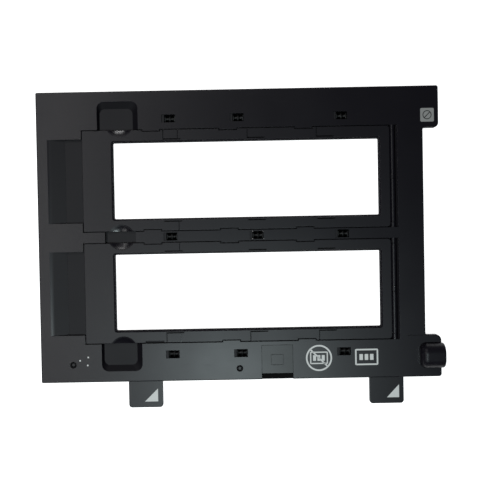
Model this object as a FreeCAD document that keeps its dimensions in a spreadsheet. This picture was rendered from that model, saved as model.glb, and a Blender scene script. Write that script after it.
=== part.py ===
"""Film holder for two strips of 120 roll film, laid on the glass of a flatbed scanner.

Every length is in millimetres. Plate coordinates start at the main plate's lower left
corner: x runs to the right, y away from the user, and z up from the glass. Each body's
Placement then moves the plate so that the row's origin is the middle of the footprint.
"""
import FreeCAD, Part
import math
import os
import Sketcher
from FreeCAD import Vector

DIMENSIONS = {
    # footprint
    "plate_width": 285.2, "plate_depth": 215.0, "bar_reach": 296.8,
    "upper_bar_start": 184.1, "lower_bar_end": 31.0,
    "tab_reach": 19.9, "left_tab_start": 64.2, "right_tab_start": 243.5, "tab_width": 25.5,
    "grip_overhang": 1.5,
    # levels above the glass
    "skirt_level": 1.0, "floor_under": 1.8, "pocket_floor": 2.6, "track_floor": 3.3,
    "well_floor": 3.5, "lid_under": 3.6, "skin_under": 4.2, "top_level": 6.0,
    "tab_under": 1.0, "tab_top": 3.4,
    "wall": 1.8, "rib": 1.4, "least_cell": 5.6, "floor_hollow_reach": 1.0,
    # how far a cut or a root runs past the face that it meets
    "overrun": 1.0, "overlap": 0.2, "pocket_overlap": 0.4, "tongue_root": 0.5, "tab_root": 4.0,
    # lid wells and film tracks
    "well_left": 33.2, "well_right": 265.0, "lower_well_start": 28.2, "lower_well_end": 103.3,
    "upper_well_start": 111.1, "upper_well_end": 186.6, "edge_relief": 1.2,
    "track_left": 20.6, "track_slope_left": 8.0, "track_right": 256.5, "track_width": 61.9,
    "upper_track_start": 118.0, "lower_track_start": 35.0,
    "window_left": 56.4, "window_length": 196.0, "window_width": 56.1,
    "upper_window_start": 120.8, "lower_window_start": 38.1,
    # lids
    "lid_gap": 0.45, "lid_right": 260.5, "lid_window_margin": 0.5, "lid_window_bevel": 0.9,
    "tongue_reach": 1.2, "tongue_gap": 0.4, "window_corner": 0.8, "lid_window_corner": 1.0,
    "tongue_1": 78.5, "tongue_2": 135.3, "tongue_3": 191.2, "tongue_length": 12.6,
    "scoop_radius": 30.0, "scoop_depth": 1.86, "scoop_x": 61.6, "scoop_inset": 5.2,
    "slit_length": 13.0, "slit_width": 0.7, "slit_inset": 2.6,
    "slit_1": 93.5, "slit_2": 155.6, "slit_3": 206.5,
    "seam_x": 104.2, "seam_width": 0.4, "seam_depth": 0.5, "seam_gap": 0.2,
    "clip_slot_width": 0.5,
    # hinges
    "hinge_x": 262.7, "hinge_level": 4.1, "barrel_radius": 1.9, "rod_radius": 0.8,
    "running_gap": 0.06, "rod_fit": 0.02, "lug_length": 4.0, "hinge_gap": 0.3, "trench_left": 260.4,
    "trench_floor": 1.8, "web_rise": 0.6, "web_root": 1.2,
    # height feet and their sockets
    "socket_1": 97.9, "socket_2": 148.4, "socket_2_centre": 161.6, "socket_3": 224.6,
    "lower_socket_y": 19.9, "centre_socket_y": 107.2, "upper_socket_y": 194.2,
    "socket_length": 10.0, "socket_width": 5.8, "boss_wall": 1.5,
    "ledge_width": 1.8, "ledge_level": 5.2,
    "foot_gap": 0.05, "foot_top": 3.8, "foot_stem": 1.2, "foot_bar": 1.1, "foot_end": 1.0,
    "foot_pad": 1.0, "foot_corner": 0.5,
    # finger pockets
    "pocket_left": 45.2, "pocket_right": 75.3, "pocket_floor_left": 46.6,
    "pocket_floor_right": 71.1, "pocket_floor_corner": 4.0,
    "upper_pocket_end": 207.4, "upper_pocket_floor_end": 202.4,
    "lower_pocket_start": 8.0, "lower_pocket_floor_start": 12.2, "pocket_corner": 5.0,
    "centre_pocket_left": 49.5, "centre_pocket_right": 72.2,
    # slide
    "channel_left": 163.6, "channel_right": 186.8, "channel_end": 25.5, "channel_floor": 3.9,
    "groove_depth": 0.8, "groove_height": 1.1, "slide_gap": 0.15, "slide_start": 4.5,
    "slide_top": 5.8, "slide_pad_left": 170.5, "slide_pad_start": 10.7, "slide_pad_width": 9.4,
    "slide_pad_depth": 8.1, "slide_pad_groove": 0.5, "slide_pad_recess": 0.4,
    "slide_pad_corner": 0.6, "slide_pad_inner_corner": 0.4,
    # corner grip
    "grip_left": 280.2, "grip_start": 6.8, "grip_end": 25.2, "grip_top": 14.0,
    "grip_shoulder": 7.0, "grip_nose": 5.0, "grip_end_round": 1.5, "grip_wall": 1.6,
    "grip_hollow": 4.6,
    "grip_leg_x1": 288.6, "grip_leg_x2": 293.4, "grip_leg_y1": 11.0, "grip_leg_y2": 21.0,
    "grip_leg_radius": 1.5, "grip_leg_end": 2.2, "grip_leg_fit": 0.03, "grip_leg_rise": 3.0,
    # label and pins
    "label_left": 283.4, "label_start": 188.3, "label_side": 10.0, "label_corner": 1.0,
    "label_thickness": 0.15,
    "centre_pin_x": 147.3, "centre_pin_y": 8.6, "left_pin_x": 24.0, "left_pin_y": 13.2,
    "pin_radius": 2.4, "pin_fit": 0.03, "pin_top": 5.7, "pin_under": 2.4,
    "joint_line_left": 272.0, "joint_line_inset": 1.0, "joint_line_width": 0.5,
    "joint_line_depth": 0.4,
    # rounding
    "edge_round": 0.8, "small_corner": 1.0, "bar_corner": 4.0, "upper_bar_corner": 3.5,
    "far_corner": 1.5, "near_corner": 2.0, "inner_corner": 1.5, "tab_corner": 2.4,
    "lid_corner": 0.8, "lid_hinge_corner": 2.4, "lid_round": 0.35, "track_end_corner": 1.0,
}


class Size:
    """A number that remembers the spreadsheet expression that it comes from."""

    def __init__(self, value, text):
        self.value = value
        self.text = text

    @staticmethod
    def of(other):
        return other if isinstance(other, Size) else Size(float(other), repr(float(other)))

    def join(self, other, sign, value):
        return Size(value, "(%s %s %s)" % (self.text, sign, Size.of(other).text))

    def __add__(self, other):
        return self.join(other, "+", self.value + Size.of(other).value)

    def __sub__(self, other):
        return self.join(other, "-", self.value - Size.of(other).value)

    def __mul__(self, other):
        return self.join(other, "*", self.value * Size.of(other).value)

    def __truediv__(self, other):
        return self.join(other, "/", self.value / Size.of(other).value)

    def __neg__(self):
        return Size(-self.value, "(0 - %s)" % self.text)


class Sizes:
    """The driving dimensions, as attributes."""

    def __init__(self, values, sheet_name):
        for alias, value in values.items():
            setattr(self, alias, Size(value, "%s.%s" % (sheet_name, alias)))


SAME_PLACE = 1e-4  # two heights closer than this are the same
PICK_SLACK = 0.1  # allowed when edges are picked by where they are
LEAST_CUT = 0.001  # cubic millimetres that a cut has to take away

doc = FreeCAD.newDocument("FilmHolder")


def make_sheet():
    sheet = doc.addObject("Spreadsheet::Sheet", "dims")
    for row, (alias, value) in enumerate(DIMENSIONS.items(), start=1):
        sheet.set("A%d" % row, alias)
        sheet.set("B%d" % row, str(value))
        sheet.setAlias("B%d" % row, alias)
    doc.recompute()
    return Sizes(DIMENSIONS, "dims")


d = make_sheet()
NOTHING = Size(0.0, "0")
ROW_SHIFT_X = -(d.bar_reach + d.grip_overhang) / 2
ROW_SHIFT_Y = -(d.plate_depth - d.tab_reach) / 2


# ---------------------------------------------------------------- helpers

def bind(item, path, size):
    """Ties one property of an object to the spreadsheet."""
    item.setExpression(path, Size.of(size).text)


def place_in_row(item):
    """Moves a finished piece from plate coordinates to the row's frame."""
    bind(item, "Placement.Base.x", ROW_SHIFT_X)
    bind(item, "Placement.Base.y", ROW_SHIFT_Y)


def new_body(label):
    body = doc.addObject("PartDesign::Body", label)
    body.Label = label
    place_in_row(body)
    return body


def origin_plane(body, role):
    return next(item for item in body.Origin.OriginFeatures if item.Role == role)


def new_sketch(body, name, level, plane="XY_Plane"):
    """A sketch on one of the body's origin planes, lifted off it by level."""
    sketch = body.newObject("Sketcher::SketchObject", "%s_%s" % (body.Name, name))
    sketch.AttachmentSupport = [(origin_plane(body, plane), "")]
    sketch.MapMode = "FlatFace"
    bind(sketch, "AttachmentOffset.Base.z", level)
    return sketch


def constrain(sketch, rules):
    """Adds (constraint, size) pairs; a size, where there is one, drives the constraint."""
    first = sketch.ConstraintCount
    sketch.addConstraint([rule for rule, size in rules])
    for offset, (rule, size) in enumerate(rules):
        if size is not None:
            bind(sketch, "Constraints[%d]" % (first + offset), size)


def add_outline(sketch, corners):
    """A closed outline of level and upright edges; corners are (x, y, radius), in order."""
    count = len(corners)
    points = [Vector(Size.of(x).value, Size.of(y).value, 0) for x, y, radius in corners]
    first = sketch.GeometryCount
    shapes = []
    turns = []
    for index, (x, y, radius) in enumerate(corners):
        here = points[index]
        back = (points[index - 1] - here).normalize()
        ahead = (points[(index + 1) % count] - here).normalize()
        reach = Size.of(radius).value if radius is not None else 0.0
        left_turn = ahead.cross(back).z > 0
        turns.append((here + back * reach, here + ahead * reach, left_turn))
    for index in range(count):
        start = turns[index][1]
        end = turns[(index + 1) % count][0]
        shapes.append(Part.LineSegment(start, end))
    arcs = {}
    for index, (x, y, radius) in enumerate(corners):
        if radius is None:
            continue
        entry, leave, left_turn = turns[index]
        centre = entry + leave - points[index]
        first_end, last_end = (entry, leave) if left_turn else (leave, entry)
        start_angle = math.atan2(first_end.y - centre.y, first_end.x - centre.x)
        circle = Part.Circle(centre, Vector(0, 0, 1), Size.of(radius).value)
        arcs[index] = first + len(shapes)
        shapes.append(Part.ArcOfCircle(circle, start_angle, start_angle + math.pi / 2))
    sketch.addGeometry(shapes, False)
    rules = []
    for index in range(count):
        line_in = first + (index - 1) % count
        line_out = first + index
        step = points[(index + 1) % count] - points[index]
        level = abs(step.x) > abs(step.y)
        rules.append((Sketcher.Constraint("Horizontal" if level else "Vertical", line_out), None))
        if level:
            rule = Sketcher.Constraint("DistanceY", -1, 1, line_out, 1, points[index].y)
            rules.append((rule, Size.of(corners[index][1])))
        else:
            rule = Sketcher.Constraint("DistanceX", -1, 1, line_out, 1, points[index].x)
            rules.append((rule, Size.of(corners[index][0])))
        if index not in arcs:
            rules.append((Sketcher.Constraint("Coincident", line_in, 2, line_out, 1), None))
            continue
        radius = Size.of(corners[index][2])
        entry_end, leave_end = (1, 2) if turns[index][2] else (2, 1)
        arc = arcs[index]
        rules.append((Sketcher.Constraint("Tangent", line_in, 2, arc, entry_end), None))
        rules.append((Sketcher.Constraint("Tangent", arc, leave_end, line_out, 1), None))
        rules.append((Sketcher.Constraint("Radius", arc, radius.value), radius))
    constrain(sketch, rules)


def add_rectangle(sketch, left, start, right, end, corner=None):
    add_outline(sketch, [(left, start, corner), (right, start, corner),
                         (right, end, corner), (left, end, corner)])


def add_circle(sketch, x, y, radius):
    x, y, radius = Size.of(x), Size.of(y), Size.of(radius)
    first = sketch.GeometryCount
    sketch.addGeometry(Part.Circle(Vector(x.value, y.value, 0), Vector(0, 0, 1), radius.value))
    constrain(sketch, [
        (Sketcher.Constraint("DistanceX", -1, 1, first, 3, x.value), x),
        (Sketcher.Constraint("DistanceY", -1, 1, first, 3, y.value), y),
        (Sketcher.Constraint("Radius", first, radius.value), radius)])


def add_polygon(sketch, points):
    """A closed outline of straight edges in any direction."""
    count = len(points)
    places = [Vector(Size.of(x).value, Size.of(y).value, 0) for x, y in points]
    first = sketch.GeometryCount
    sketch.addGeometry([Part.LineSegment(places[i], places[(i + 1) % count])
                        for i in range(count)], False)
    rules = []
    for index, (x, y) in enumerate(points):
        line = first + index
        before = first + (index - 1) % count
        x, y = Size.of(x), Size.of(y)
        rules.append((Sketcher.Constraint("Coincident", before, 2, line, 1), None))
        rules.append((Sketcher.Constraint("DistanceX", -1, 1, line, 1, x.value), x))
        rules.append((Sketcher.Constraint("DistanceY", -1, 1, line, 1, y.value), y))
    constrain(sketch, rules)


def pad_up(body, sketch, height):
    """Adds material from the sketch upwards."""
    feature = body.newObject("PartDesign::Pad", sketch.Name + "_pad")
    feature.Profile = sketch
    feature.Refine = False
    bind(feature, "Length", height)
    doc.recompute()
    sketch.Visibility = False
    return feature


def pocket(body, sketch, depth, upwards):
    """Takes material away, above or below the sketch, and makes sure that it did."""
    before = body.Shape.Volume
    feature = body.newObject("PartDesign::Pocket", sketch.Name + "_pocket")
    feature.Profile = sketch
    feature.Refine = False
    bind(feature, "Length", depth)
    feature.Reversed = upwards
    doc.recompute()
    if not body.Shape.Volume < before - LEAST_CUT:
        raise RuntimeError("%s cuts nothing" % feature.Name)
    return feature


def cut_down(body, name, top, bottom, draw):
    """Cuts what draw puts in a sketch, from the level top down to the level bottom."""
    sketch = new_sketch(body, name, top)
    draw(sketch)
    return pocket(body, sketch, Size.of(top) - bottom, upwards=False)


def edges_that(shape, test):
    names = []
    for number, edge in enumerate(shape.Edges, start=1):
        if test(edge):
            names.append("Edge%d" % number)
    return names


def flat_at(edge, level):
    return all(abs(vertex.Z - level) < SAME_PLACE for vertex in edge.Vertexes)


def round_edges(body, name, radius, test):
    """Rounds every edge of the body that passes the test."""
    base = body.Tip
    feature = body.newObject("PartDesign::Fillet", "%s_%s" % (body.Name, name))
    feature.Base = (base, edges_that(base.Shape, test))
    feature.Refine = False
    bind(feature, "Radius", radius)
    doc.recompute()


def bevel_edges(body, name, size, test):
    """Cuts a flat 45 degree bevel along every edge of the body that passes the test."""
    base = body.Tip
    feature = body.newObject("PartDesign::Chamfer", "%s_%s" % (body.Name, name))
    feature.Base = (base, edges_that(base.Shape, test))
    feature.Refine = False
    bind(feature, "Size", size)
    doc.recompute()


# ---------------------------------------------------------------- places that repeat

LIDS = [
    ("upper", d.upper_well_start, d.upper_well_end, d.upper_track_start,
     d.upper_window_start),
    ("lower", d.lower_well_start, d.lower_well_end, d.lower_track_start,
     d.lower_window_start),
]
SOCKETS = [
    (d.socket_1, d.lower_socket_y), (d.socket_2, d.lower_socket_y),
    (d.socket_3, d.lower_socket_y), (d.socket_1, d.centre_socket_y),
    (d.socket_2_centre, d.centre_socket_y), (d.socket_3, d.centre_socket_y),
    (d.socket_1, d.upper_socket_y), (d.socket_2, d.upper_socket_y),
    (d.socket_3, d.upper_socket_y),
]
TONGUES = [d.tongue_1, d.tongue_2, d.tongue_3]
GRIP_LEGS = [(x, y) for x in (d.grip_leg_x1, d.grip_leg_x2)
             for y in (d.grip_leg_y1, d.grip_leg_y2)]
PINS = [("left", d.left_pin_x, d.left_pin_y), ("centre", d.centre_pin_x, d.centre_pin_y)]


def lug_stretches(start, end):
    """The three lengths of a lid's hinge line where the frame holds the rod."""
    middle = (start + end) / 2
    half = d.lug_length / 2
    return [(start, start + d.lug_length), (middle - half, middle + half),
            (end - d.lug_length, end)]


def barrel_stretches(start, end):
    """The two lengths between the lugs, where the lid's own barrel turns on the rod."""
    lugs = lug_stretches(start, end)
    return [(low[1] + d.hinge_gap, high[0] - d.hinge_gap)
            for low, high in zip(lugs, lugs[1:])]


# ---------------------------------------------------------------- frame

def plate_outline(sketch):
    add_outline(sketch, [
        (NOTHING, NOTHING, d.small_corner),
        (d.bar_reach, NOTHING, d.near_corner),
        (d.bar_reach, d.lower_bar_end, d.bar_corner),
        (d.plate_width, d.lower_bar_end, d.inner_corner),
        (d.plate_width, d.upper_bar_start, d.inner_corner),
        (d.bar_reach, d.upper_bar_start, d.upper_bar_corner),
        (d.bar_reach, d.plate_depth, d.far_corner),
        (NOTHING, d.plate_depth, d.small_corner),
    ])


def hollow_cells():
    """Rectangles under the skin, with ribs left between them: left, start, right, end."""
    wall, rib = d.wall, d.rib
    cells = []
    left_end = d.pocket_left - wall
    for low, high in ((wall, d.lower_track_start - wall),
                      (d.lower_track_start + d.track_width + wall, d.upper_track_start - wall),
                      (d.upper_track_start + d.track_width + wall, d.plate_depth - wall)):
        cells.append((Size.of(wall), low, d.well_left - wall, high))
    bar_low = d.upper_well_end + wall
    bar_high = d.plate_depth - wall
    cells.append((d.well_left - wall + rib, bar_low, left_end, bar_high))
    boss = d.socket_length / 2 + d.boss_wall
    edges = [d.pocket_right + wall]
    for x in (d.socket_1, d.socket_2, d.socket_3):
        edges += [x - boss, x + boss]
    edges += [d.well_right + wall]
    for low, high in zip(edges[0::2], edges[1::2]):
        if high.value - low.value > d.least_cell.value:
            middle = (low + high) / 2
            cells.append((low, bar_low, middle - rib / 2, bar_high))
            cells.append((middle + rib / 2, bar_low, high, bar_high))
    for x in (d.socket_1, d.socket_2, d.socket_3):
        above = d.upper_socket_y + d.socket_width / 2 + d.boss_wall
        cells.append((x - boss + rib, above, x + boss - rib, bar_high))
    low_end = d.lower_well_start - wall
    cells.append((d.well_left - wall + rib, wall, left_end, low_end))
    lower_edges = [d.pocket_right + wall, d.socket_1 - boss, d.socket_1 + boss,
                   d.centre_pin_x - d.pin_radius * 2, d.channel_right + wall * 2,
                   d.socket_3 - boss,
                   d.socket_3 + boss, d.well_right + wall]
    for low, high in zip(lower_edges[0::2], lower_edges[1::2]):
        cells.append((low, wall, high, low_end))
    column = d.well_right + wall
    column_end = d.plate_width - wall
    span = (d.upper_bar_start - d.lower_bar_end) / 3
    for step in range(3):
        start = d.lower_bar_end + span * float(step)
        cells.append((column, start + rib, column_end, start + span))
    cells.append((column + wall, bar_low, d.bar_reach - wall, bar_high))
    cells.append((column + wall, wall, d.grip_leg_x1 - wall * 2, low_end))
    return cells


def draw_cells(sketch):
    for left, start, right, end in hollow_cells():
        add_rectangle(sketch, left, start, right, end)


def loft_pocket(body, name, outer, floor):
    """A scoop with sloping sides between an outline at the top and a smaller one below."""
    sketches = []
    for part, level, corners in (("rim", d.top_level, outer), ("floor", d.pocket_floor, floor)):
        sketch = new_sketch(body, "%s_%s" % (name, part), level)
        add_outline(sketch, corners)
        sketches.append(sketch)
    before = body.Shape.Volume
    loft = body.newObject("PartDesign::SubtractiveLoft", "%s_%s_loft" % (body.Name, name))
    loft.Profile = sketches[0]
    loft.Sections = [sketches[1]]
    loft.Ruled = True
    loft.Refine = False
    doc.recompute()
    if not body.Shape.Volume < before - LEAST_CUT:
        raise RuntimeError("%s cuts nothing" % loft.Name)


def far_rounded(left, right, near, far, corner):
    """A pocket outline that opens towards near and has round corners at far."""
    corners = [(left, near, None), (right, near, None), (right, far, corner),
               (left, far, corner)]
    return corners if far.value > near.value else corners[::-1]


def cut_finger_pockets(body):
    overlap = d.pocket_overlap
    for name, near, far, floor_far in (
            ("upper_pocket", d.upper_well_end - overlap, d.upper_pocket_end,
             d.upper_pocket_floor_end),
            ("lower_pocket", d.lower_well_start + overlap, d.lower_pocket_start,
             d.lower_pocket_floor_start)):
        outer = far_rounded(d.pocket_left, d.pocket_right, near, far, d.pocket_corner)
        floor = far_rounded(d.pocket_floor_left, d.pocket_floor_right, near, floor_far,
                            d.pocket_floor_corner)
        loft_pocket(body, name, outer, floor)
    cut_down(body, "centre_pocket", d.top_level, d.pocket_floor,
             lambda sketch: add_rectangle(sketch, d.centre_pocket_left,
                                          d.lower_well_end - overlap, d.centre_pocket_right,
                                          d.upper_well_start + overlap))


def cut_track_slopes(body):
    """The sloping lead-in at the outer end of each film track."""
    for name, well_start, well_end, track_start, window_start in LIDS:
        sketch = new_sketch(body, name + "_slope", -track_start, plane="XZ_Plane")
        add_polygon(sketch, [(d.track_slope_left, d.top_level),
                             (d.track_left + d.overlap, d.track_floor),
                             (d.track_left + d.overlap, d.top_level)])
        pocket(body, sketch, d.track_width, upwards=False)


def add_lugs(body):
    """The three posts that hold each hinge rod: a foot with a round top."""
    half = d.barrel_radius
    feet = new_sketch(body, "lug_feet", d.skirt_level)
    for name, well_start, well_end, track_start, window_start in LIDS:
        for low, high in lug_stretches(well_start, well_end):
            add_rectangle(feet, d.hinge_x - half, low, d.hinge_x + half, high)
    pad_up(body, feet, d.hinge_level - d.skirt_level)
    for name, well_start, well_end, track_start, window_start in LIDS:
        for number, (low, high) in enumerate(lug_stretches(well_start, well_end), start=1):
            top = new_sketch(body, "%s_lug_%d" % (name, number), -high, plane="XZ_Plane")
            add_circle(top, d.hinge_x, d.hinge_level, half)
            pad_up(body, top, high - low)


def cut_rod_holes(body):
    for name, well_start, well_end, track_start, window_start in LIDS:
        sketch = new_sketch(body, name + "_rod_hole", -well_start, plane="XZ_Plane")
        add_circle(sketch, d.hinge_x, d.hinge_level, d.rod_radius + d.rod_fit)
        pocket(body, sketch, well_end - well_start, upwards=False)


def add_tongues(body):
    """Short tongues of the rails that reach into the notches of the lids' edges."""
    sketch = new_sketch(body, "tongues", d.skin_under)
    for left in TONGUES:
        right = left + d.tongue_length
        rails = [(d.lower_well_end, -1), (d.upper_well_start, 1), (d.upper_well_end, -1)]
        if left is not d.tongue_1:
            rails.append((d.lower_well_start, 1))
        for edge, side in rails:
            near = edge - d.tongue_root * float(side)
            far = edge + d.tongue_reach * float(side)
            start, end = (near, far) if side > 0 else (far, near)
            add_rectangle(sketch, left, start, right, end)
    pad_up(body, sketch, d.top_level - d.skin_under)


def make_frame():
    body = new_body("base_frame")
    outline = new_sketch(body, "outline", d.skirt_level)
    plate_outline(outline)
    pad_up(body, outline, d.top_level - d.skirt_level)
    tabs = new_sketch(body, "tabs", d.tab_under)
    bind(tabs, "AttachmentOffset.Base.y", -d.tab_reach)
    for left in (d.left_tab_start, d.right_tab_start):
        add_rectangle(tabs, left, NOTHING, left + d.tab_width, d.tab_reach + d.tab_root,
                      d.tab_corner)
    pad_up(body, tabs, d.tab_top - d.tab_under)
    round_edges(body, "rim", d.edge_round, lambda edge: flat_at(edge, d.top_level.value))
    in_front = -d.overrun.value
    round_edges(body, "tab_rim", d.edge_round / 2,
                lambda edge: flat_at(edge, d.tab_top.value) and edge.BoundBox.YMin < in_front)

    def draw_wells(sketch):
        for name, well_start, well_end, track_start, window_start in LIDS:
            add_rectangle(sketch, d.well_left, well_start, d.well_right, well_end)

    def draw_tracks(sketch):
        for name, well_start, well_end, track_start, window_start in LIDS:
            add_rectangle(sketch, d.track_left, track_start, d.track_right,
                          track_start + d.track_width, d.track_end_corner)

    def draw_windows(sketch):
        for name, well_start, well_end, track_start, window_start in LIDS:
            add_rectangle(sketch, d.window_left, window_start,
                          d.window_left + d.window_length, window_start + d.window_width,
                          d.window_corner)

    def draw_trenches(sketch):
        for name, well_start, well_end, track_start, window_start in LIDS:
            add_rectangle(sketch, d.trench_left, well_start, d.well_right, well_end)

    def draw_floor_hollows(sketch):
        for name, well_start, well_end, track_start, window_start in LIDS:
            add_rectangle(sketch, d.wall * 2, track_start,
                          d.track_right + d.floor_hollow_reach, track_start + d.track_width)

    cut_down(body, "wells", d.top_level, d.well_floor, draw_wells)
    cut_down(body, "trenches", d.top_level, d.trench_floor, draw_trenches)
    cut_edge_relief(body)
    add_lugs(body)
    cut_rod_holes(body)
    cut_down(body, "tracks", d.top_level, d.track_floor, draw_tracks)
    cut_track_slopes(body)
    cut_down(body, "windows", d.top_level, NOTHING, draw_windows)
    add_tongues(body)
    cut_finger_pockets(body)
    cut_channel(body)
    cut_small_details(body)
    cut_sockets(body)
    cut_down(body, "floor_hollows", d.floor_under, NOTHING, draw_floor_hollows)
    cells = new_sketch(body, "cells", d.skin_under)
    draw_cells(cells)
    pocket(body, cells, d.skin_under, upwards=False)
    return body


def cut_edge_relief(body):
    """The bevel on the right column that lets an opened lid lean back."""
    for name, well_start, well_end, track_start, window_start in LIDS:
        sketch = new_sketch(body, name + "_relief", -well_start, plane="XZ_Plane")
        near = d.well_right - d.overlap
        above = d.top_level + d.overlap
        add_polygon(sketch, [(near, d.top_level - d.edge_relief - d.overlap),
                             (d.well_right + d.edge_relief + d.overlap, above),
                             (near, above)])
        pocket(body, sketch, well_end - well_start, upwards=False)


def cut_sockets(body):
    """Through sockets for the height feet, each with a shallow ledge at its left end."""
    def draw(sketch, left_gap, right_gap):
        for x, y in SOCKETS:
            add_rectangle(sketch, x - d.socket_length / 2 + left_gap, y - d.socket_width / 2,
                          x + d.socket_length / 2 - right_gap, y + d.socket_width / 2)

    cut_down(body, "ledges", d.top_level, d.ledge_level,
             lambda sketch: draw(sketch, NOTHING, d.socket_length - d.ledge_width * 2))
    cut_down(body, "sockets", d.top_level, NOTHING,
             lambda sketch: draw(sketch, d.ledge_width, NOTHING))


def cut_channel(body):
    """The slide's channel, open at the front edge, with a groove along each side."""
    cut_down(body, "channel", d.top_level, d.channel_floor,
             lambda sketch: add_rectangle(sketch, d.channel_left, -d.overrun,
                                          d.channel_right, d.channel_end))
    cut_down(body, "grooves", d.channel_floor + d.groove_height, d.channel_floor,
             lambda sketch: add_rectangle(sketch, d.channel_left - d.groove_depth,
                                          -d.overrun, d.channel_right + d.groove_depth,
                                          d.channel_end))


def cut_small_details(body):
    """Holes for the grip's legs and the pins, the label's seat, and one joint line."""
    def draw_holes(sketch):
        for x, y in GRIP_LEGS:
            add_circle(sketch, x, y, d.grip_leg_radius + d.grip_leg_fit)
        for name, x, y in PINS:
            add_circle(sketch, x, y, d.pin_radius + d.pin_fit)

    def draw_label_seat(sketch):
        add_rectangle(sketch, d.label_left, d.label_start, d.label_left + d.label_side,
                      d.label_start + d.label_side, d.label_corner)

    def draw_joint_line(sketch):
        half = d.joint_line_width / 2
        add_rectangle(sketch, d.joint_line_left, d.lower_bar_end - half,
                      d.plate_width - d.joint_line_inset, d.lower_bar_end + half)

    cut_down(body, "round_holes", d.top_level, NOTHING, draw_holes)
    cut_down(body, "label_seat", d.top_level, d.top_level - d.label_thickness / 2,
             draw_label_seat)
    cut_down(body, "joint_line", d.top_level, d.top_level - d.joint_line_depth,
             draw_joint_line)


# ---------------------------------------------------------------- lids

def lid_edges(well_start, well_end):
    return well_start + d.lid_gap, well_end - d.lid_gap


def lid_plate_outline(sketch, well_start, well_end):
    """The lid with a notch round each of the rail tongues."""
    low, high = lid_edges(well_start, well_end)
    left = d.well_left + d.lid_gap
    notch = d.tongue_reach
    corners = [(left, low, d.lid_corner)]
    for tongue in TONGUES:
        start = tongue - d.tongue_gap
        end = tongue + d.tongue_length + d.tongue_gap
        corners += [(start, low, None), (start, low + notch, None),
                    (end, low + notch, None), (end, low, None)]
    corners += [(d.lid_right, low, d.lid_hinge_corner), (d.lid_right, high, d.lid_hinge_corner)]
    for tongue in reversed(TONGUES):
        start = tongue - d.tongue_gap
        end = tongue + d.tongue_length + d.tongue_gap
        corners += [(end, high, None), (end, high - notch, None),
                    (start, high - notch, None), (start, high, None)]
    corners.append((left, high, d.lid_corner))
    add_outline(sketch, corners)


def add_barrels(body, well_start, well_end):
    """The lid's two hinge barrels, each with a web that joins it to the plate."""
    web_top = d.hinge_level + d.web_rise
    for number, (low, high) in enumerate(barrel_stretches(well_start, well_end), start=1):
        barrel = new_sketch(body, "barrel_%d" % number, -high, plane="XZ_Plane")
        add_circle(barrel, d.hinge_x, d.hinge_level, d.barrel_radius)
        pad_up(body, barrel, high - low)
        web = new_sketch(body, "web_%d" % number, -high, plane="XZ_Plane")
        add_rectangle(web, d.lid_right - d.web_root, d.lid_under, d.hinge_x, web_top)
        pad_up(body, web, high - low)
    bore = new_sketch(body, "bore", -well_start, plane="XZ_Plane")
    add_circle(bore, d.hinge_x, d.hinge_level, d.rod_radius + d.running_gap)
    pocket(body, bore, well_end - well_start, upwards=False)


def cut_scoops(body, well_start, well_end):
    """A dished thumb scoop at each long edge, beside the finger pockets."""
    low, high = lid_edges(well_start, well_end)
    rise = d.scoop_radius - d.scoop_depth
    for name, y in (("low_scoop", low - d.scoop_inset), ("high_scoop", high + d.scoop_inset)):
        scoop = body.newObject("PartDesign::SubtractiveSphere", "%s_%s" % (body.Name, name))
        bind(scoop, "Radius", d.scoop_radius)
        scoop.AttachmentSupport = [(origin_plane(body, "XY_Plane"), "")]
        scoop.MapMode = "FlatFace"
        bind(scoop, "AttachmentOffset.Base.x", d.scoop_x)
        bind(scoop, "AttachmentOffset.Base.y", y)
        bind(scoop, "AttachmentOffset.Base.z", d.top_level + rise)
        doc.recompute()


def cut_slits(body, well_start, well_end, window_start, clip_side):
    """The slits that free the springy clips beside the window, and the seam lines."""
    low, high = lid_edges(well_start, well_end)
    window_end = window_start + d.window_width
    low_slit = window_start - d.slit_inset
    high_slit = window_end + d.slit_inset - d.slit_width

    def draw_slits(sketch):
        for left in (d.slit_1, d.slit_2, d.slit_3):
            for y in (low_slit, high_slit):
                add_rectangle(sketch, left, y, left + d.slit_length, y + d.slit_width)

    def draw_clip_slots(sketch):
        for left in (d.slit_1, d.slit_2, d.slit_3):
            start, end = (low - d.overrun, low_slit + d.slit_width / 2)
            if clip_side == "high":
                start, end = (high_slit + d.slit_width / 2, high + d.overrun)
            add_rectangle(sketch, left, start, left + d.clip_slot_width, end)

    def draw_seams(sketch):
        for start, end in ((low, low_slit - d.seam_gap),
                           (high_slit + d.slit_width + d.seam_gap, high)):
            add_rectangle(sketch, d.seam_x, start, d.seam_x + d.seam_width, end)

    cut_down(body, "slits", d.top_level, NOTHING, draw_slits)
    cut_down(body, "clip_slots", d.top_level, NOTHING, draw_clip_slots)
    cut_down(body, "seams", d.top_level, d.top_level - d.seam_depth, draw_seams)


def bevel_window(body, window_start):
    """The sloping light trap round the top of the lid's window."""
    middle = window_start + d.window_width / 2
    reach = d.window_width / 2 + d.lid_window_margin + PICK_SLACK

    def on_window_rim(edge):
        box = edge.BoundBox
        inside = abs(box.YMin - middle.value) < reach.value
        inside = inside and abs(box.YMax - middle.value) < reach.value
        inside = inside and box.XMin > (d.window_left - d.overrun).value
        inside = inside and box.XMax < (d.window_left + d.window_length + d.overrun).value
        return inside and flat_at(edge, d.top_level.value)

    bevel_edges(body, "window_bevel", d.lid_window_bevel, on_window_rim)


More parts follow.
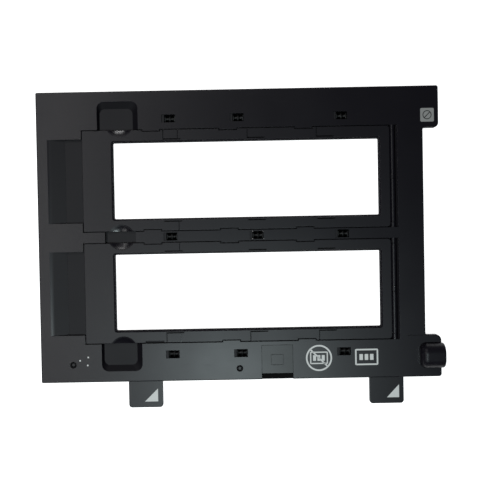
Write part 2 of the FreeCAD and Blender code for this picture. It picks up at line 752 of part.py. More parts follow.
def make_lid(name, well_start, well_end, window_start):
    body = new_body(name + "_lid")
    plate = new_sketch(body, "plate", d.lid_under)
    lid_plate_outline(plate, well_start, well_end)
    pad_up(body, plate, d.top_level - d.lid_under)
    round_edges(body, "rim", d.lid_round, lambda edge: flat_at(edge, d.top_level.value))
    margin = d.lid_window_margin
    cut_down(body, "window", d.top_level, NOTHING,
             lambda sketch: add_rectangle(sketch, d.window_left - margin,
                                          window_start - margin,
                                          d.window_left + d.window_length + margin,
                                          window_start + d.window_width + margin,
                                          d.lid_window_corner))
    bevel_window(body, window_start)
    add_barrels(body, well_start, well_end)
    cut_slits(body, well_start, well_end, window_start, "low" if name == "lower" else "high")
    cut_scoops(body, well_start, well_end)
    return body


# ---------------------------------------------------------------- small pieces

def make_rod(name, well_start, well_end):
    """A plain steel rod through the lugs and the barrels."""
    rod = doc.addObject("Part::Cylinder", name + "_hinge_rod")
    rod.Label = name + "_hinge_rod"
    bind(rod, "Radius", d.rod_radius)
    bind(rod, "Height", well_end - well_start)
    rod.Placement = FreeCAD.Placement(Vector(0, 0, 0), Vector(1, 0, 0), 90)
    bind(rod, "Placement.Base.x", d.hinge_x + ROW_SHIFT_X)
    bind(rod, "Placement.Base.y", well_end + ROW_SHIFT_Y)
    bind(rod, "Placement.Base.z", d.hinge_level)
    return rod


def make_foot(number, x, y):
    """A height foot: a pad on the glass and a slotted stem that grips its socket."""
    body = new_body("height_foot_%d" % number)
    left = x - d.socket_length / 2 + d.ledge_width + d.foot_gap
    right = x + d.socket_length / 2 - d.foot_gap
    middle = (left + right) / 2
    half_width = d.socket_width / 2 - d.foot_gap
    pad = new_sketch(body, "pad", 0)
    add_rectangle(pad, left, y - half_width, right, y + half_width, d.foot_corner)
    pad_up(body, pad, d.foot_top)
    stem = d.foot_stem / 2
    bar = d.foot_bar / 2
    spans = [(left + d.foot_end, middle - stem), (middle + stem, right - d.foot_end)]
    rows = [(y - half_width - d.overrun, y - bar), (y + bar, y + half_width + d.overrun)]

    def draw_slots(sketch):
        for start_x, end_x in spans:
            for start_y, end_y in rows:
                add_rectangle(sketch, start_x, start_y, end_x, end_y)

    cut_down(body, "slots", d.foot_top, d.foot_pad, draw_slots)
    return body


def make_slide():
    """The sliding panel in the front bar: two side flanges and a ribbed finger pad."""
    body = new_body("edge_slide")
    gap = d.slide_gap
    start = d.slide_start
    end = d.channel_end - gap
    low = d.channel_floor + gap / 2
    flange = new_sketch(body, "flange", low)
    reach = d.groove_depth - gap
    add_rectangle(flange, d.channel_left - reach, start, d.channel_right + reach, end)
    pad_up(body, flange, d.groove_height - gap)
    panel = new_sketch(body, "panel", low)
    add_rectangle(panel, d.channel_left + gap, start, d.channel_right - gap, end)
    pad_up(body, panel, d.slide_top - low)
    groove = d.slide_pad_groove
    left, pad_start = d.slide_pad_left, d.slide_pad_start
    right = left + d.slide_pad_width
    pad_end = pad_start + d.slide_pad_depth

    def draw_frame(sketch):
        add_rectangle(sketch, left, pad_start, right, pad_end, d.slide_pad_corner)
        add_rectangle(sketch, left + groove, pad_start + groove, right - groove,
                      pad_end - groove, d.slide_pad_inner_corner)

    cut_down(body, "pad_frame", d.slide_top, d.slide_top - d.slide_pad_recess, draw_frame)
    return body


def make_grip():
    """The corner grip: a half-round bar with a rounded nose, held by four pressed-in legs."""
    body = new_body("corner_grip")
    tip = d.bar_reach + d.grip_overhang
    foot = new_sketch(body, "block", d.top_level)
    add_rectangle(foot, d.grip_left, d.grip_start, tip, d.grip_end)
    pad_up(body, foot, d.grip_top - d.top_level)
    top, base = d.grip_top.value, d.top_level.value
    sides = (d.grip_start.value, d.grip_end.value)

    def all_at(edge, axis, place):
        return all(abs(vertex.Point[axis] - place) < SAME_PLACE for vertex in edge.Vertexes)

    round_edges(body, "shoulders", d.grip_shoulder, lambda edge: flat_at(edge, top) and any(
        all_at(edge, 1, side) for side in sides))
    for name, place, radius in (("nose", d.grip_left, d.grip_nose),
                                ("end", tip, d.grip_end_round)):
        round_edges(body, name, radius, lambda edge: all_at(edge, 0, place.value)
                    and not flat_at(edge, base))
    middle = (d.grip_start + d.grip_end) / 2
    cut = new_sketch(body, "inside", d.top_level)
    add_rectangle(cut, d.grip_left + d.grip_nose, middle - d.grip_hollow, tip - d.grip_wall,
                  middle + d.grip_hollow)
    pocket(body, cut, d.grip_top - d.top_level - d.grip_wall, upwards=True)
    legs = new_sketch(body, "legs", d.grip_leg_end)
    for x, y in GRIP_LEGS:
        add_circle(legs, x, y, d.grip_leg_radius)
    pad_up(body, legs, d.top_level - d.grip_leg_end + d.grip_leg_rise)
    return body


def make_label():
    body = new_body("corner_label")
    sketch = new_sketch(body, "square", d.top_level - d.label_thickness / 2)
    add_rectangle(sketch, d.label_left, d.label_start, d.label_left + d.label_side,
                  d.label_start + d.label_side, d.label_corner)
    pad_up(body, sketch, d.label_thickness)
    return body


def make_pin(name, x, y):
    """A round locating pin pressed through the front bar."""
    pin = doc.addObject("Part::Cylinder", name + "_locating_pin")
    pin.Label = name + "_locating_pin"
    bind(pin, "Radius", d.pin_radius)
    bind(pin, "Height", d.pin_top - d.pin_under)
    bind(pin, "Placement.Base.x", x + ROW_SHIFT_X)
    bind(pin, "Placement.Base.y", y + ROW_SHIFT_Y)
    bind(pin, "Placement.Base.z", d.pin_under)
    return pin


# ---------------------------------------------------------------- the holder

def make_holder():
    pieces = [make_frame()]
    for name, well_start, well_end, track_start, window_start in LIDS:
        pieces.append(make_lid(name, well_start, well_end, window_start))
        pieces.append(make_rod(name, well_start, well_end))
    for number, (x, y) in enumerate(SOCKETS, start=1):
        pieces.append(make_foot(number, x, y))
    pieces += [make_slide(), make_grip(), make_label()]
    for name, x, y in PINS:
        pieces.append(make_pin(name, x, y))
    doc.recompute()
    return pieces


def check_document(pieces):
    """Stops before anything is written if an object or a shape is broken."""
    for item in doc.Objects:
        if "Invalid" in item.State or "Error" in item.State:
            raise RuntimeError("%s is %s" % (item.Name, item.State))
    for piece in pieces:
        if piece.Shape.isNull() or not piece.Shape.isValid():
            raise RuntimeError("%s has a broken shape" % piece.Label)
        print("%-20s solids %d  volume %9.1f mm3" % (
            piece.Label, len(piece.Shape.Solids), piece.Shape.Volume))


def write_steps(pieces):
    os.makedirs("parts", exist_ok=True)
    for piece in pieces:
        piece.Shape.exportStep("parts/%s.step" % piece.Label)


holder = make_holder()
check_document(holder)
write_steps(holder)
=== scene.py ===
"""Looks of the film holder: an A4 scanner frame with two hinged window lids.

Lengths in this file are in metres, in the row's frame: +X along the film strips towards the
hinges, +Y away from the user and +Z up from the glass. MM turns millimetres into metres.
"""
import math

import bmesh
import bpy
from mathutils import Matrix, Vector


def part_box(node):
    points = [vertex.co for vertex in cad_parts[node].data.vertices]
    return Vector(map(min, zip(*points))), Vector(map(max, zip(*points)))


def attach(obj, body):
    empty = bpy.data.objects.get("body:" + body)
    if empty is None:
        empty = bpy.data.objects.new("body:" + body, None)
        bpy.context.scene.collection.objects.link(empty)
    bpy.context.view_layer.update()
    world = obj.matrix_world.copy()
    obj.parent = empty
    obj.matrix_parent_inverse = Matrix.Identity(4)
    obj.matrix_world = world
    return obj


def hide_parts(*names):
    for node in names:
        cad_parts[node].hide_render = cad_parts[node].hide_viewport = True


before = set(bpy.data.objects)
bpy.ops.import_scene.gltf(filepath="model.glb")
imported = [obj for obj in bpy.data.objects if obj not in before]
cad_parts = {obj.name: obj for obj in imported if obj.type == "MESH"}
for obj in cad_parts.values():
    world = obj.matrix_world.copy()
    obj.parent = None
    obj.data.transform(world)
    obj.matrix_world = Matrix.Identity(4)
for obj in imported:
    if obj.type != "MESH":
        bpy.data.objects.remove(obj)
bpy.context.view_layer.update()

MM = 0.001
ROOT = "holder_base"


def box_of(node):
    """A CAD node's low and high corners."""
    low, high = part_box(node)
    return Vector(low), Vector(high)


# The plate's near left corner on its top skin. The tabs reach past the plate's front edge.
FRAME_LOW, FRAME_HIGH = box_of("base_frame")
TAB_REACH = 19.9 * MM
TOP = FRAME_HIGH.z
LEFT = FRAME_LOW.x
FRONT = FRAME_LOW.y + TAB_REACH


def on_plate(x, y, z=TOP):
    """A point given in millimetres from the plate's near left corner."""
    return Vector((LEFT + x * MM, FRONT + y * MM, z))


# ---------------------------------------------------------------- camera, light and floor

CAMERA_HEIGHT = 492.3 * MM
CAMERA_TURN = (-0.8694, 0.1840, -1.0614)
LENS, SENSOR, FARTHEST = 50.0, 36.0, 20.0
LIGHT_HEIGHT = 1.0
STUDIO_COLOUR, STUDIO_STRENGTH = (0.95, 0.85, 1.0, 1.0), 0.02
FLOOR_REACH = 3.0


def link(thing):
    bpy.context.scene.collection.objects.link(thing)
    return thing


def make_camera():
    """Looks almost straight down at the middle of the plate."""
    camera = link(bpy.data.objects.new("camera", bpy.data.cameras.new("camera")))
    camera.data.lens = LENS
    camera.data.sensor_width = SENSOR
    camera.data.clip_end = FARTHEST
    camera.location = on_plate(150.85, 111.12, TOP + CAMERA_HEIGHT)
    camera.rotation_euler = [math.radians(turn) for turn in CAMERA_TURN]
    bpy.context.scene.camera = camera


def make_area_light(name, place, size, power, colour):
    """A softbox that hangs level and shines straight down; place and size are in metres."""
    light = link(bpy.data.objects.new(name, bpy.data.lights.new(name, "AREA")))
    light.data.shape = "RECTANGLE"
    light.data.size, light.data.size_y = size
    light.data.energy = power
    light.data.color = colour
    light.location = (*place, LIGHT_HEIGHT)


def make_lights():
    """Three softboxes in a dim studio; the front one gives the sheen on the front bar."""
    make_area_light("front_softbox", (-0.01, -0.31), (0.24, 0.1), 3.6, (0.84, 0.98, 1.0))
    make_area_light("left_softbox", (-0.45, 0.01), (0.15, 1.0), 2.75, (1.0, 0.99, 0.99))
    make_area_light("back_softbox", (-0.29, 0.72), (0.45, 0.08), 2.56, (1.0, 1.0, 1.0))
    world = bpy.data.worlds.new("studio")
    world.use_nodes = True
    background = world.node_tree.nodes["Background"]
    background.inputs["Color"].default_value = STUDIO_COLOUR
    background.inputs["Strength"].default_value = STUDIO_STRENGTH
    bpy.context.scene.world = world
    bpy.context.scene.view_settings.view_transform = "Standard"


def new_material(name):
    """A material with its node tree and its shader."""
    material = bpy.data.materials.new(name)
    material.use_nodes = True
    return material, material.node_tree, material.node_tree.nodes["Principled BSDF"]


def make_floor():
    """A lit white table, as bright as the paper behind a studio shot."""
    mesh = bpy.data.meshes.new("floor")
    build = bmesh.new()
    bmesh.ops.create_grid(build, x_segments=1, y_segments=1, size=FLOOR_REACH)
    build.to_mesh(mesh)
    build.free()
    floor = link(bpy.data.objects.new("floor", mesh))
    material, _, shader = new_material("pale_floor")
    for socket, value in (("Base Color", (0.9, 0.9, 0.9, 1.0)), ("Roughness", 0.9),
                          ("Specular IOR Level", 0.1), ("Emission Color", (1.0, 1.0, 1.0, 1.0)),
                          ("Emission Strength", 1.0)):
        shader.inputs[socket].default_value = value
    mesh.materials.append(material)


# ---------------------------------------------------------------- shared shader groups

# Grain and noise scales are per metre. A range such as RUBBED_PATCH is where a noise starts to
# count and where it counts in full.
PIT_SCALE = 0.8
UNDULATION_SCALE = 30.0
PATCH_SCALE, RUBBED_PATCH = 220.0, (0.35, 0.62)
SCUFF_TURN = (0.0, 0.0, 0.5)
SCUFF_STRETCH, SCUFFED_LINE = (40.0, 900.0, 400.0), (0.66, 0.74)
DUST_SCALE, DUST_SPECK = 900.0, (0.79, 0.86)
SCUFFS = 0.35
ROUNDED_TURN = (0.004, 0.12)

# Depths below the top skin, and places behind the plate's front edge.
SHALLOW = (0.2 * MM, 0.5 * MM)
FLOOR_DEPTH = (0.2 * MM, 0.6 * MM)
PAST_FRONT = (0.0, 1.0 * MM)
SLOT_DEPTH = (1.6 * MM, 1.9 * MM)
SLOT_END = (6.0 * MM, 5.0 * MM)
SLOT_MIDDLE = 175.2
SLOT_HALF_WIDTH = 13.0 * MM


def new_group(name, inputs, outputs):
    """A shader node group with the named float inputs and outputs."""
    group = bpy.data.node_groups.new(name, "ShaderNodeTree")
    for socket, value in inputs:
        item = group.interface.new_socket(socket, in_out="INPUT", socket_type="NodeSocketFloat")
        item.default_value = value
    for socket in outputs:
        group.interface.new_socket(socket, in_out="OUTPUT", socket_type="NodeSocketFloat")
    return group, group.nodes.new("NodeGroupInput"), group.nodes.new("NodeGroupOutput")


def add_node(tree, kind, **settings):
    node = tree.nodes.new(kind)
    for name, value in settings.items():
        setattr(node, name, value)
    return node


def add_noise(tree, coordinates, detail=2.0, roughness=0.5, scale=None):
    noise = add_node(tree, "ShaderNodeTexNoise")
    noise.inputs["Detail"].default_value = detail
    noise.inputs["Roughness"].default_value = roughness
    if scale is not None:
        noise.inputs["Scale"].default_value = scale
    tree.links.new(coordinates, noise.inputs["Vector"])
    return noise


def add_math(tree, operation, first, second=None, clamp=False):
    node = add_node(tree, "ShaderNodeMath", operation=operation, use_clamp=clamp)
    for index, value in enumerate((first, second)):
        if value is None:
            continue
        if isinstance(value, (int, float)):
            node.inputs[index].default_value = value
        else:
            tree.links.new(value, node.inputs[index])
    return node.outputs[0]


def add_range(tree, value, low, high, to_low=0.0, to_high=1.0):
    node = add_node(tree, "ShaderNodeMapRange")
    tree.links.new(value, node.inputs["Value"])
    for socket, number in (("From Min", low), ("From Max", high), ("To Min", to_low),
                           ("To Max", to_high)):
        node.inputs[socket].default_value = number
    return node.outputs["Result"]


def make_grain_group():
    """Spark-eroded mould texture: fine pits over a slow undulation."""
    group, entry, leave = new_group("mould_grain", [("Scale", 2600.0), ("Unevenness", 0.3)],
                                    ["Height", "Mottle"])
    place = add_node(group, "ShaderNodeTexCoord").outputs["Object"]
    fine = add_noise(group, place, detail=3.0, roughness=0.65)
    group.links.new(entry.outputs["Scale"], fine.inputs["Scale"])
    pits = add_node(group, "ShaderNodeTexVoronoi", feature="F1")
    group.links.new(place, pits.inputs["Vector"])
    group.links.new(add_math(group, "MULTIPLY", entry.outputs["Scale"], PIT_SCALE),
                    pits.inputs["Scale"])
    wide = add_noise(group, place, scale=UNDULATION_SCALE)
    height = add_math(group, "ADD", fine.outputs["Fac"], pits.outputs["Distance"])
    slow = add_math(group, "MULTIPLY", wide.outputs["Fac"], entry.outputs["Unevenness"])
    group.links.new(add_math(group, "ADD", height, slow), leave.inputs["Height"])
    group.links.new(wide.outputs["Fac"], leave.inputs["Mottle"])
    return group


def make_corner_group():
    """Softened corners: a rounded normal, and a mask that is 1 on the rounded strip."""
    group, entry, leave = new_group("soft_corners", [("Radius", 0.2 * MM)], ["Corner"])
    group.interface.new_socket("Normal", in_out="OUTPUT", socket_type="NodeSocketVector")
    rounded = add_node(group, "ShaderNodeBevel", samples=4)
    group.links.new(entry.outputs["Radius"], rounded.inputs["Radius"])
    geometry = add_node(group, "ShaderNodeNewGeometry")
    turn = add_node(group, "ShaderNodeVectorMath", operation="DOT_PRODUCT")
    group.links.new(rounded.outputs["Normal"], turn.inputs[0])
    group.links.new(geometry.outputs["Normal"], turn.inputs[1])
    away = add_math(group, "SUBTRACT", 1.0, turn.outputs["Value"])
    group.links.new(add_range(group, away, *ROUNDED_TURN), leave.inputs["Corner"])
    group.links.new(rounded.outputs["Normal"], leave.inputs["Normal"])
    return group


def make_wear_group():
    """Handling marks: masks from 0, untouched, to 1, rubbed."""
    group, entry, leave = new_group("handling_marks", [("Scuffs", SCUFFS)],
                                    ["Patch", "Scuff", "Dust"])
    place = add_node(group, "ShaderNodeTexCoord").outputs["Object"]
    patchy = add_noise(group, place, detail=4.0, scale=PATCH_SCALE)
    group.links.new(add_range(group, patchy.outputs["Fac"], *RUBBED_PATCH),
                    leave.inputs["Patch"])
    stretch = add_node(group, "ShaderNodeMapping")
    stretch.inputs["Rotation"].default_value = SCUFF_TURN
    stretch.inputs["Scale"].default_value = SCUFF_STRETCH
    group.links.new(place, stretch.inputs["Vector"])
    lines = add_noise(group, stretch.outputs["Vector"], detail=3.0, scale=1.0)
    scratch = add_range(group, lines.outputs["Fac"], *SCUFFED_LINE)
    group.links.new(add_math(group, "MULTIPLY", scratch, entry.outputs["Scuffs"]),
                    leave.inputs["Scuff"])
    specks = add_noise(group, place, detail=1.0, scale=DUST_SCALE)
    group.links.new(add_range(group, specks.outputs["Fac"], *DUST_SPECK), leave.inputs["Dust"])
    return group


def make_depth_group():
    """Masks that are 1 below the top skin.

    Depth is anywhere below it, Floor leaves out the tabs in front of the plate, and Slot is
    the bare end of the slide's channel. Floor and Slot place painted shade as well as roughness.
    """
    group, entry, leave = new_group("moulded_floors", [("Level", TOP)],
                                    ["Depth", "Floor", "Slot"])
    split = add_node(group, "ShaderNodeSeparateXYZ")
    group.links.new(add_node(group, "ShaderNodeTexCoord").outputs["Object"], split.inputs[0])
    depth = add_math(group, "SUBTRACT", entry.outputs["Level"], split.outputs["Z"])
    group.links.new(add_range(group, depth, *SHALLOW), leave.inputs["Depth"])
    behind = add_range(group, split.outputs["Y"], *(FRONT + y for y in PAST_FRONT))
    low = add_range(group, depth, *FLOOR_DEPTH)
    group.links.new(add_math(group, "MULTIPLY", low, behind), leave.inputs["Floor"])
    near = add_range(group, split.outputs["Y"], *(FRONT + y for y in SLOT_END))
    slot = add_math(group, "MULTIPLY", near, add_range(group, depth, *SLOT_DEPTH))
    across = add_math(group, "COMPARE", split.outputs["X"], on_plate(SLOT_MIDDLE, 0).x)
    across.node.inputs[2].default_value = SLOT_HALF_WIDTH
    group.links.new(add_math(group, "MULTIPLY", slot, across), leave.inputs["Slot"])
    return group


GRAIN = make_grain_group()
CORNERS = make_corner_group()
MARKS = make_wear_group()
FLOORS = make_depth_group()


def add_group(tree, group, **values):
    node = add_node(tree, "ShaderNodeGroup", node_tree=group)
    for name, value in values.items():
        node.inputs[name.replace("_", " ")].default_value = value
    return node


def add_mix(tree, factor, first, second):
    """Mixes two colours; each is a fixed colour or a socket."""
    node = add_node(tree, "ShaderNodeMix", data_type="RGBA")
    tree.links.new(factor, node.inputs["Factor"])
    for socket, value in ((node.inputs[6], first), (node.inputs[7], second)):
        if isinstance(value, tuple):
            socket.default_value = (*value, 1.0)
        else:
            tree.links.new(value, socket)
    return node.outputs[2]


# ---------------------------------------------------------------- materials

# What each effect takes from or adds to a plastic's colour or roughness.
MOTTLE = (0.3, 0.7)
# Painted shade: the floor share darkens recess floors, and the slot colour paints the slide
# channel's end near black as its shadow.
MOTTLED_SHADE, FLOOR_PAINTED_SHADE, SLOT_PAINTED_SHADOW = 0.92, 0.7, (0.001, 0.001, 0.0012)
UNEVEN_SHEEN, RUBBED_SHARE, RUBBED_SHINE, SCUFF_ROUGHNESS = 0.012, 0.5, 0.06, 0.12
FLOOR_ROUGHNESS, SLOT_ROUGHNESS = 0.22, 0.4
PLASTIC_GRAIN_STEP, INK_GRAIN_STEP, WIRE_LINE_STEP = 0.05 * MM, 0.03 * MM, 0.02 * MM
INK_SHEEN, THIN_INK = 0.05, (0.62, 0.8)


def shade(colour, share):
    return tuple(part * share for part in colour)


def add_bump(tree, height, strength, distance, normal=None):
    bump = add_node(tree, "ShaderNodeBump")
    bump.inputs["Strength"].default_value = strength
    bump.inputs["Distance"].default_value = distance
    tree.links.new(height, bump.inputs["Height"])
    if normal is not None:
        tree.links.new(normal, bump.inputs["Normal"])
    return bump.outputs["Normal"]


def moulded_plastic(name, colour, worn_colour, roughness, grain_scale=2600.0, grain_depth=0.1,
                    corner=0.22, specular=0.31, floors=False, dishes=0.0):
    """Injection-moulded plastic: grain, uneven sheen, rubbed corners, fine scuffs, dust.

    The corner's radius is in millimetres. With floors, everything well below the top skin is
    rougher, as the sparked bottom of a mould cavity leaves it, and is painted darker as shade in
    the recesses; the bare end of the slide's channel is painted near black as its shadow. With
    dishes, what lies below the skin is smoother by that much, as a polished core pin leaves it.
    """
    material, tree, shader = new_material(name)
    shader.inputs["Specular IOR Level"].default_value = specular
    grain = add_group(tree, GRAIN, Scale=grain_scale)
    corners = add_group(tree, CORNERS, Radius=corner * MM)
    marks = add_group(tree, MARKS)
    body = add_mix(tree, grain.outputs["Mottle"], shade(colour, MOTTLED_SHADE), colour)
    edge = add_math(tree, "MULTIPLY", corners.outputs["Corner"], marks.outputs["Patch"])
    rubbed = add_mix(tree, add_math(tree, "MULTIPLY", edge, RUBBED_SHARE), body, worn_colour)
    surface = add_mix(tree, marks.outputs["Dust"], rubbed, worn_colour)
    uneven = add_range(tree, grain.outputs["Mottle"], *MOTTLE, roughness - UNEVEN_SHEEN,
                       roughness + UNEVEN_SHEEN)
    shined = add_math(tree, "MULTIPLY", edge, RUBBED_SHINE)
    scuffed = add_math(tree, "MULTIPLY", marks.outputs["Scuff"], SCUFF_ROUGHNESS)
    rough = add_math(tree, "ADD", add_math(tree, "SUBTRACT", uneven, shined), scuffed)
    if floors:
        depth = add_group(tree, FLOORS)
        # Painted shade: recess floors well below the top skin are darker.
        surface = add_mix(tree, depth.outputs["Floor"], surface, shade(colour, FLOOR_PAINTED_SHADE))
        # Painted shadow: the bare end of the slide's channel is near black.
        surface = add_mix(tree, depth.outputs["Slot"], surface, SLOT_PAINTED_SHADOW)
        matte = add_math(tree, "ADD",
                         add_math(tree, "MULTIPLY", depth.outputs["Floor"], FLOOR_ROUGHNESS),
                         add_math(tree, "MULTIPLY", depth.outputs["Slot"], SLOT_ROUGHNESS))
        rough = add_math(tree, "ADD", rough, matte, clamp=True)
    if dishes:
        dish = add_math(tree, "MULTIPLY", add_group(tree, FLOORS).outputs["Depth"], dishes)
        rough = add_math(tree, "SUBTRACT", rough, dish)
    tree.links.new(surface, shader.inputs["Base Color"])
    tree.links.new(rough, shader.inputs["Roughness"])
    tree.links.new(add_bump(tree, grain.outputs["Height"], grain_depth, PLASTIC_GRAIN_STEP,
                            corners.outputs["Normal"]), shader.inputs["Normal"])
    return material


def drawn_steel(name):
    """Drawn wire: fine lines along the rod and a little tarnish."""
    material, tree, shader = new_material(name)
    shader.inputs["Metallic"].default_value = 1.0
    place = add_node(tree, "ShaderNodeTexCoord").outputs["Object"]
    along = add_node(tree, "ShaderNodeMapping")
    along.inputs["Scale"].default_value = (9000.0, 60.0, 9000.0)
    tree.links.new(place, along.inputs["Vector"])
    lines = add_noise(tree, along.outputs["Vector"], detail=3.0, scale=1.0)
    tarnish = add_noise(tree, place, detail=3.0, scale=180.0)
    tree.links.new(add_mix(tree, tarnish.outputs["Fac"], (0.16, 0.155, 0.15), (0.22, 0.22, 0.225)),
                   shader.inputs["Base Color"])
    tree.links.new(add_range(tree, lines.outputs["Fac"], *MOTTLE, 0.24, 0.42),
                   shader.inputs["Roughness"])
    tree.links.new(add_bump(tree, lines.outputs["Fac"], 0.2, WIRE_LINE_STEP),
                   shader.inputs["Normal"])
    return material


def screen_ink(name, colour, thin_colour, roughness):
    """Pad-printed ink: slightly thin in places, with the grain under it showing."""
    material, tree, shader = new_material(name)
    grain = add_group(tree, GRAIN, Scale=3000.0)
    place = add_node(tree, "ShaderNodeTexCoord").outputs["Object"]
    patches = add_noise(tree, place, detail=5.0, scale=900.0)
    thin = add_range(tree, patches.outputs["Fac"], *THIN_INK)
    tree.links.new(add_mix(tree, thin, colour, thin_colour), shader.inputs["Base Color"])
    tree.links.new(add_range(tree, grain.outputs["Mottle"], *MOTTLE, roughness - INK_SHEEN,
                             roughness + INK_SHEEN), shader.inputs["Roughness"])
    tree.links.new(add_bump(tree, grain.outputs["Height"], 0.15, INK_GRAIN_STEP),
                   shader.inputs["Normal"])
    return material


WORN = (0.022, 0.0215, 0.0235)
BLACK = (0.007, 0.006, 0.0095)
FRAME_PLASTIC = moulded_plastic("frame_plastic", BLACK, WORN, 0.35, floors=True)
LID_PLASTIC = moulded_plastic("lid_plastic", BLACK, WORN, 0.4,
                              grain_scale=3200.0, grain_depth=0.07, dishes=0.2)
SLIDE_PLASTIC = moulded_plastic("slide_plastic", (0.007, 0.0068, 0.0082), WORN, 0.36,
                                grain_scale=3600.0, grain_depth=0.06, corner=0.15)
GRIP_PLASTIC = moulded_plastic("grip_plastic", (0.0082, 0.0072, 0.011), WORN, 0.4,
                               grain_scale=4200.0, grain_depth=0.03, corner=0.9,
                               specular=0.19)
FOOT_PLASTIC = moulded_plastic("foot_plastic", (0.0025, 0.0028, 0.0031), WORN, 0.5, corner=0.12)
PIN_PLASTIC = moulded_plastic("pin_plastic", (0.0057, 0.0057, 0.007), WORN, 0.42, corner=0.1)
ROD_STEEL = drawn_steel("rod_steel")
LABEL_FILM = screen_ink("label_film", (0.36, 0.36, 0.35), (0.31, 0.31, 0.3), 0.5)
WHITE_INK = screen_ink("white_ink", (0.85, 0.86, 0.84), (0.6, 0.62, 0.6), 0.55)
BLACK_INK = screen_ink("black_ink", (0.015, 0.015, 0.015), (0.06, 0.06, 0.06), 0.5)

# ---------------------------------------------------------------- mesh helpers

SHARP_TURN = math.radians(35.0)
SAME_PLACE = 1e-7
WELD_DISTANCE = 0.002 * MM
FLAT_SIDE = 0.9
MANY_SIDED = 8


def add_piece(name, build, material, node=None):
    """Turns a bmesh into a finished piece of the holder, in place of a node if one is named."""
    mesh = bpy.data.meshes.new(name)
    build.to_mesh(mesh)
    build.free()
    mesh.polygons.foreach_set("use_smooth", [True] * len(mesh.polygons))
    mesh.set_sharp_from_angle(angle=SHARP_TURN)
    mesh.materials.append(material)
    piece = link(bpy.data.objects.new(name, mesh))
    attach(piece, ROOT)
    if node:
        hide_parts(node)


def welded_copy(node):
    """A node's shape as one closed mesh."""
    build = bmesh.new()
    build.from_mesh(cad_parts[node].data)
    bmesh.ops.remove_doubles(build, verts=build.verts, dist=WELD_DISTANCE)
    return build


def box_shape(build, low, high):
    """A box between two corners, added to a bmesh; gives back its vertices."""
    verts = bmesh.ops.create_cube(build, size=1.0)["verts"]
    bmesh.ops.scale(build, vec=high - low, verts=verts)
    bmesh.ops.translate(build, vec=(low + high) / 2, verts=verts)
    return verts


def upright_edges(verts):
    return [edge for edge in {edge for vert in verts for edge in vert.link_edges}
            if abs(edge.verts[0].co.z - edge.verts[1].co.z) > SAME_PLACE
            and (edge.verts[0].co - edge.verts[1].co).to_2d().length < SAME_PLACE]


def bevel_edges(build, edges, offset, segments):
    bmesh.ops.bevel(build, geom=edges, offset=offset, segments=segments, profile=0.5,
                    affect="EDGES", material=-1)


def plate_shape(build, outline, bottom, top):
    """A flat plate with the given outline, from bottom to top."""
    verts = [build.verts.new((x, y, bottom)) for x, y in outline]
    face = build.faces.new(verts)
    raised = bmesh.ops.extrude_face_region(build, geom=[face])["geom"]
    moved = [item for item in raised if isinstance(item, bmesh.types.BMVert)]
    bmesh.ops.translate(build, vec=(0.0, 0.0, top - bottom), verts=moved)
    bmesh.ops.recalc_face_normals(build, faces=build.faces)


def ring_shape(build, centre, inner, outer, bottom, top, steps=72):
    """A flat ring: a small rectangle spun once round an upright axis."""
    profile = [build.verts.new((centre.x + radius, centre.y, z))
               for radius, z in ((inner, bottom), (outer, bottom), (outer, top), (inner, top))]
    edges = [build.edges.new((profile[i], profile[(i + 1) % 4])) for i in range(4)]
    bmesh.ops.spin(build, geom=profile + edges, cent=centre, axis=(0.0, 0.0, 1.0),
                   angle=math.tau, steps=steps, use_merge=True, use_duplicate=False)
    bmesh.ops.recalc_face_normals(build, faces=build.faces)


def frame_shape(build, low, high, line, corner, bottom, top):
    """A thin rectangular frame with rounded corners, line wide."""
    verts = box_shape(build, Vector((low.x, low.y, bottom)), Vector((high.x, high.y, top)))
    bevel_edges(build, upright_edges(verts), corner, 5)
    caps = [face for face in build.faces
            if abs(face.normal.z) > FLAT_SIDE and len(face.verts) > MANY_SIDED]
    bmesh.ops.inset_individual(build, faces=caps, thickness=line, use_even_offset=True)
    inner = [face for face in caps if face.is_valid]
    loops = [edge for face in inner for edge in face.edges]
    bmesh.ops.delete(build, geom=inner, context="FACES_ONLY")
    bmesh.ops.bridge_loops(build, edges=loops)


def bar_shape(build, start, end, width, bottom, top):
    """A straight printed stroke between two points."""
    along = (end - start).to_2d().normalized()
    across = Vector((-along.y, along.x)) * width / 2
    first, last = start.to_2d(), end.to_2d()
    plate_shape(build, [first - across, last - across, last + across, first + across],
                bottom, top)


# ---------------------------------------------------------------- pieces from the model

# The gap all round a foot in its socket.
FOOT_GAP = 0.05 * MM
FEET = ["height_foot_%d" % number for number in range(1, 10)]
ROD_CHAMFER = 0.2 * MM
PIN_RIM, PIN_LIP, PIN_DISH = 0.35 * MM, 0.55 * MM, 0.5 * MM
PIN_RING, PIN_CENTRE = 0.5 * MM, 0.35 * MM
FINISHES = {"base_frame": FRAME_PLASTIC, "upper_lid": LID_PLASTIC, "lower_lid": LID_PLASTIC,
            "edge_slide": SLIDE_PLASTIC, "corner_grip": GRIP_PLASTIC}


def finish_nodes():
    """Gives the CAD pieces that keep their own shape their materials."""
    for name, material in FINISHES.items():
        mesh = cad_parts[name].data
        mesh.materials.clear()
        mesh.materials.append(material)


# ---------------------------------------------------------------- new pieces

def make_feet():
    """The height feet, grown by the fitting gap so that each one fills its socket."""
    for node in FEET:
        low, high = box_of(node)
        build = welded_copy(node)
        for vert in build.verts:
            for axis in (0, 1):
                if vert.co[axis] - low[axis] < FOOT_GAP:
                    vert.co[axis] -= FOOT_GAP
                elif high[axis] - vert.co[axis] < FOOT_GAP:
                    vert.co[axis] += FOOT_GAP
        add_piece(node.replace("height_", ""), build, FOOT_PLASTIC, node)


